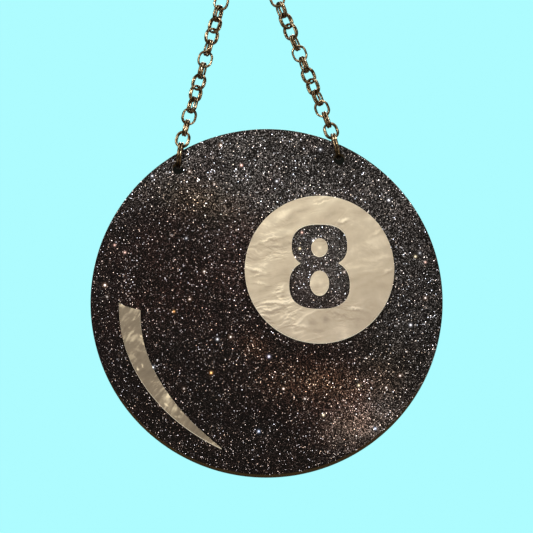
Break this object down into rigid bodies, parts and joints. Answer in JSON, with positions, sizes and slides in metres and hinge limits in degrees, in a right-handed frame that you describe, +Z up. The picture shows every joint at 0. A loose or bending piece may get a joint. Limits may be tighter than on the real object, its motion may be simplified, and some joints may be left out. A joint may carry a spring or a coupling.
{
  "type": "pool ball wall hanging",
  "caption": "Flat round wall hanging made as a numbered pool ball: a glitter acrylic disc with pearl acrylic number plate and glint, hung over a nail by a chain of paired oval links.",
  "frame": {"origin": "where the nail bears on the inside top of the hanging link, half way between its two rings", "axes": "+Z up, +X to the right seen from the front, and the front with the number plate faces -Y"},
  "size_m": [0.1, 0.0078, 0.163],
  "materials": {
    "black_glitter_acrylic": "polished cast acrylic, black with fine silver glitter flakes cast in",
    "pearl_acrylic": "polished cast acrylic, cream pearl with soft wavy streaks",
    "antique_brass": "antiqued brass wire, dark in the recesses and worn bright on the high spots"
  },
  "bodies": {
    "hanging_link": {"hanging_link": "antique_brass"},
    "left_link_01": {"left_link_01": "antique_brass"},
    "left_link_02": {"left_link_02": "antique_brass"},
    "left_link_03": {"left_link_03": "antique_brass"},
    "left_link_04": {"left_link_04": "antique_brass"},
    "left_link_05": {"left_link_05": "antique_brass"},
    "left_link_06": {"left_link_06": "antique_brass"},
    "left_link_07": {"left_link_07": "antique_brass"},
    "left_link_08": {"left_link_08": "antique_brass"},
    "left_link_09": {"left_link_09": "antique_brass"},
    "left_link_10": {"left_link_10": "antique_brass"},
    "left_link_11": {"left_link_11": "antique_brass"},
    "left_link_12": {"left_link_12": "antique_brass"},
    "left_link_13": {"left_link_13": "antique_brass"},
    "left_link_14": {"left_link_14": "antique_brass"},
    "left_link_15": {"left_link_15": "antique_brass"},
    "left_link_16": {"left_link_16": "antique_brass"},
    "left_link_17": {"left_link_17": "antique_brass"},
    "left_link_18": {"left_link_18": "antique_brass"},
    "left_link_19": {"left_link_19": "antique_brass"},
    "right_link_01": {"right_link_01": "antique_brass"},
    "right_link_02": {"right_link_02": "antique_brass"},
    "right_link_03": {"right_link_03": "antique_brass"},
    "right_link_04": {"right_link_04": "antique_brass"},
    "right_link_05": {"right_link_05": "antique_brass"},
    "right_link_06": {"right_link_06": "antique_brass"},
    "right_link_07": {"right_link_07": "antique_brass"},
    "right_link_08": {"right_link_08": "antique_brass"},
    "right_link_09": {"right_link_09": "antique_brass"},
    "right_link_10": {"right_link_10": "antique_brass"},
    "right_link_11": {"right_link_11": "antique_brass"},
    "right_link_12": {"right_link_12": "antique_brass"},
    "right_link_13": {"right_link_13": "antique_brass"},
    "right_link_14": {"right_link_14": "antique_brass"},
    "right_link_15": {"right_link_15": "antique_brass"},
    "right_link_16": {"right_link_16": "antique_brass"},
    "right_link_17": {"right_link_17": "antique_brass"},
    "right_link_18": {"right_link_18": "antique_brass"},
    "right_link_19": {"right_link_19": "antique_brass"},
    "left_jump_rings": {"left_jump_rings": "antique_brass"},
    "right_jump_rings": {"right_jump_rings": "antique_brass"},
    "disc": {"disc": "black_glitter_acrylic", "number_plate": "pearl_acrylic", "upper_counter": "pearl_acrylic", "lower_counter": "pearl_acrylic", "glint": "pearl_acrylic"}
  },
  "joints": [
    {"name": "left_link_01_tilt", "type": "hinge", "parent": "hanging_link", "child": "left_link_01", "pos_m": [-0.00085, 0, -0.00288], "axis": [1, 0, 0], "range_deg": [-12, 12]},
    {"name": "left_link_02_tilt", "type": "hinge", "parent": "left_link_01", "child": "left_link_02", "pos_m": [-0.00198, 0, -0.00625], "axis": [-1, 0, 0], "range_deg": [-12, 12]},
    {"name": "left_link_03_tilt", "type": "hinge", "parent": "left_link_02", "child": "left_link_03", "pos_m": [-0.00308, 0, -0.00954], "axis": [1, 0, 0], "range_deg": [-12, 12]},
    {"name": "left_link_04_tilt", "type": "hinge", "parent": "left_link_03", "child": "left_link_04", "pos_m": [-0.00418, 0, -0.01283], "axis": [-1, 0, 0], "range_deg": [-12, 12]},
    {"name": "left_link_05_tilt", "type": "hinge", "parent": "left_link_04", "child": "left_link_05", "pos_m": [-0.00528, 0, -0.01612], "axis": [1, 0, 0], "range_deg": [-12, 12]},
    {"name": "left_link_06_tilt", "type": "hinge", "parent": "left_link_05", "child": "left_link_06", "pos_m": [-0.00638, 0, -0.01941], "axis": [-1, 0, 0], "range_deg": [-12, 12]},
    {"name": "left_link_07_tilt", "type": "hinge", "parent": "left_link_06", "child": "left_link_07", "pos_m": [-0.00748, 0, -0.0227], "axis": [1, 0, 0], "range_deg": [-12, 12]},
    {"name": "left_link_08_tilt", "type": "hinge", "parent": "left_link_07", "child": "left_link_08", "pos_m": [-0.00858, 0, -0.02599], "axis": [-1, 0, 0], "range_deg": [-12, 12]},
    {"name": "left_link_09_tilt", "type": "hinge", "parent": "left_link_08", "child": "left_link_09", "pos_m": [-0.00969, 0, -0.02928], "axis": [1, 0, 0], "range_deg": [-12, 12]},
    {"name": "left_link_10_tilt", "type": "hinge", "parent": "left_link_09", "child": "left_link_10", "pos_m": [-0.01079, 0, -0.03257], "axis": [-1, 0, 0], "range_deg": [-12, 12]},
    {"name": "left_link_11_tilt", "type": "hinge", "parent": "left_link_10", "child": "left_link_11", "pos_m": [-0.01189, 0, -0.03586], "axis": [1, 0, 0], "range_deg": [-12, 12]},
    {"name": "left_link_12_tilt", "type": "hinge", "parent": "left_link_11", "child": "left_link_12", "pos_m": [-0.01299, 0, -0.03915], "axis": [-1, 0, 0], "range_deg": [-12, 12]},
    {"name": "left_link_13_tilt", "type": "hinge", "parent": "left_link_12", "child": "left_link_13", "pos_m": [-0.01409, 0, -0.04245], "axis": [1, 0, 0], "range_deg": [-12, 12]},
    {"name": "left_link_14_tilt", "type": "hinge", "parent": "left_link_13", "child": "left_link_14", "pos_m": [-0.01519, 0, -0.04574], "axis": [-1, 0, 0], "range_deg": [-12, 12]},
    {"name": "left_link_15_tilt", "type": "hinge", "parent": "left_link_14", "child": "left_link_15", "pos_m": [-0.01629, 0, -0.04903], "axis": [1, 0, 0], "range_deg": [-12, 12]},
    {"name": "left_link_16_tilt", "type": "hinge", "parent": "left_link_15", "child": "left_link_16", "pos_m": [-0.01739, 0, -0.05232], "axis": [-1, 0, 0], "range_deg": [-12, 12]},
    {"name": "left_link_17_tilt", "type": "hinge", "parent": "left_link_16", "child": "left_link_17", "pos_m": [-0.01849, 0, -0.05561], "axis": [1, 0, 0], "range_deg": [-12, 12]},
    {"name": "left_link_18_tilt", "type": "hinge", "parent": "left_link_17", "child": "left_link_18", "pos_m": [-0.0196, 0, -0.0589], "axis": [-1, 0, 0], "range_deg": [-12, 12]},
    {"name": "left_link_19_tilt", "type": "hinge", "parent": "left_link_18", "child": "left_link_19", "pos_m": [-0.0207, 0, -0.06219], "axis": [1, 0, 0], "range_deg": [-12, 12]},
    {"name": "left_jump_rings_tilt", "type": "hinge", "parent": "left_link_19", "child": "left_jump_rings", "pos_m": [-0.02179, 0, -0.06547], "axis": [-1, 0, 0], "range_deg": [-12, 12]},
    {"name": "right_link_01_tilt", "type": "hinge", "parent": "hanging_link", "child": "right_link_01", "pos_m": [0.00085, 0, -0.00288], "axis": [1, 0, 0], "range_deg": [-12, 12]},
    {"name": "right_link_02_tilt", "type": "hinge", "parent": "right_link_01", "child": "right_link_02", "pos_m": [0.00198, 0, -0.00625], "axis": [-1, 0, 0], "range_deg": [-12, 12]},
    {"name": "right_link_03_tilt", "type": "hinge", "parent": "right_link_02", "child": "right_link_03", "pos_m": [0.00308, 0, -0.00954], "axis": [1, 0, 0], "range_deg": [-12, 12]},
    {"name": "right_link_04_tilt", "type": "hinge", "parent": "right_link_03", "child": "right_link_04", "pos_m": [0.00418, 0, -0.01283], "axis": [-1, 0, 0], "range_deg": [-12, 12]},
    {"name": "right_link_05_tilt", "type": "hinge", "parent": "right_link_04", "child": "right_link_05", "pos_m": [0.00528, 0, -0.01612], "axis": [1, 0, 0], "range_deg": [-12, 12]},
    {"name": "right_link_06_tilt", "type": "hinge", "parent": "right_link_05", "child": "right_link_06", "pos_m": [0.00638, 0, -0.01941], "axis": [-1, 0, 0], "range_deg": [-12, 12]},
    {"name": "right_link_07_tilt", "type": "hinge", "parent": "right_link_06", "child": "right_link_07", "pos_m": [0.00748, 0, -0.0227], "axis": [1, 0, 0], "range_deg": [-12, 12]},
    {"name": "right_link_08_tilt", "type": "hinge", "parent": "right_link_07", "child": "right_link_08", "pos_m": [0.00858, 0, -0.02599], "axis": [-1, 0, 0], "range_deg": [-12, 12]},
    {"name": "right_link_09_tilt", "type": "hinge", "parent": "right_link_08", "child": "right_link_09", "pos_m": [0.00969, 0, -0.02928], "axis": [1, 0, 0], "range_deg": [-12, 12]},
    {"name": "right_link_10_tilt", "type": "hinge", "parent": "right_link_09", "child": "right_link_10", "pos_m": [0.01079, 0, -0.03257], "axis": [-1, 0, 0], "range_deg": [-12, 12]},
    {"name": "right_link_11_tilt", "type": "hinge", "parent": "right_link_10", "child": "right_link_11", "pos_m": [0.01189, 0, -0.03586], "axis": [1, 0, 0], "range_deg": [-12, 12]},
    {"name": "right_link_12_tilt", "type": "hinge", "parent": "right_link_11", "child": "right_link_12", "pos_m": [0.01299, 0, -0.03915], "axis": [-1, 0, 0], "range_deg": [-12, 12]},
    {"name": "right_link_13_tilt", "type": "hinge", "parent": "right_link_12", "child": "right_link_13", "pos_m": [0.01409, 0, -0.04245], "axis": [1, 0, 0], "range_deg": [-12, 12]},
    {"name": "right_link_14_tilt", "type": "hinge", "parent": "right_link_13", "child": "right_link_14", "pos_m": [0.01519, 0, -0.04574], "axis": [-1, 0, 0], "range_deg": [-12, 12]},
    {"name": "right_link_15_tilt", "type": "hinge", "parent": "right_link_14", "child": "right_link_15", "pos_m": [0.01629, 0, -0.04903], "axis": [1, 0, 0], "range_deg": [-12, 12]},
    {"name": "right_link_16_tilt", "type": "hinge", "parent": "right_link_15", "child": "right_link_16", "pos_m": [0.01739, 0, -0.05232], "axis": [-1, 0, 0], "range_deg": [-12, 12]},
    {"name": "right_link_17_tilt", "type": "hinge", "parent": "right_link_16", "child": "right_link_17", "pos_m": [0.01849, 0, -0.05561], "axis": [1, 0, 0], "range_deg": [-12, 12]},
    {"name": "right_link_18_tilt", "type": "hinge", "parent": "right_link_17", "child": "right_link_18", "pos_m": [0.0196, 0, -0.0589], "axis": [-1, 0, 0], "range_deg": [-12, 12]},
    {"name": "right_link_19_tilt", "type": "hinge", "parent": "right_link_18", "child": "right_link_19", "pos_m": [0.0207, 0, -0.06219], "axis": [1, 0, 0], "range_deg": [-12, 12]},
    {"name": "right_jump_rings_tilt", "type": "hinge", "parent": "right_link_19", "child": "right_jump_rings", "pos_m": [0.02179, 0, -0.06547], "axis": [-1, 0, 0], "range_deg": [-12, 12]},
    {"name": "disc_swing", "type": "hinge", "parent": "left_jump_rings", "child": "disc", "pos_m": [-0.02232, 0, -0.06845], "axis": [1, 0, 0], "range_deg": [-40, 40]}
  ],
  "couplings": [
    {"joint": "right_link_01_tilt", "follows": "left_link_01_tilt", "ratio": 1},
    {"joint": "right_link_02_tilt", "follows": "left_link_02_tilt", "ratio": 1},
    {"joint": "right_link_03_tilt", "follows": "left_link_03_tilt", "ratio": 1},
    {"joint": "right_link_04_tilt", "follows": "left_link_04_tilt", "ratio": 1},
    {"joint": "right_link_05_tilt", "follows": "left_link_05_tilt", "ratio": 1},
    {"joint": "right_link_06_tilt", "follows": "left_link_06_tilt", "ratio": 1},
    {"joint": "right_link_07_tilt", "follows": "left_link_07_tilt", "ratio": 1},
    {"joint": "right_link_08_tilt", "follows": "left_link_08_tilt", "ratio": 1},
    {"joint": "right_link_09_tilt", "follows": "left_link_09_tilt", "ratio": 1},
    {"joint": "right_link_10_tilt", "follows": "left_link_10_tilt", "ratio": 1},
    {"joint": "right_link_11_tilt", "follows": "left_link_11_tilt", "ratio": 1},
    {"joint": "right_link_12_tilt", "follows": "left_link_12_tilt", "ratio": 1},
    {"joint": "right_link_13_tilt", "follows": "left_link_13_tilt", "ratio": 1},
    {"joint": "right_link_14_tilt", "follows": "left_link_14_tilt", "ratio": 1},
    {"joint": "right_link_15_tilt", "follows": "left_link_15_tilt", "ratio": 1},
    {"joint": "right_link_16_tilt", "follows": "left_link_16_tilt", "ratio": 1},
    {"joint": "right_link_17_tilt", "follows": "left_link_17_tilt", "ratio": 1},
    {"joint": "right_link_18_tilt", "follows": "left_link_18_tilt", "ratio": 1},
    {"joint": "right_link_19_tilt", "follows": "left_link_19_tilt", "ratio": 1},
    {"joint": "right_jump_rings_tilt", "follows": "left_jump_rings_tilt", "ratio": 1}
  ]
}
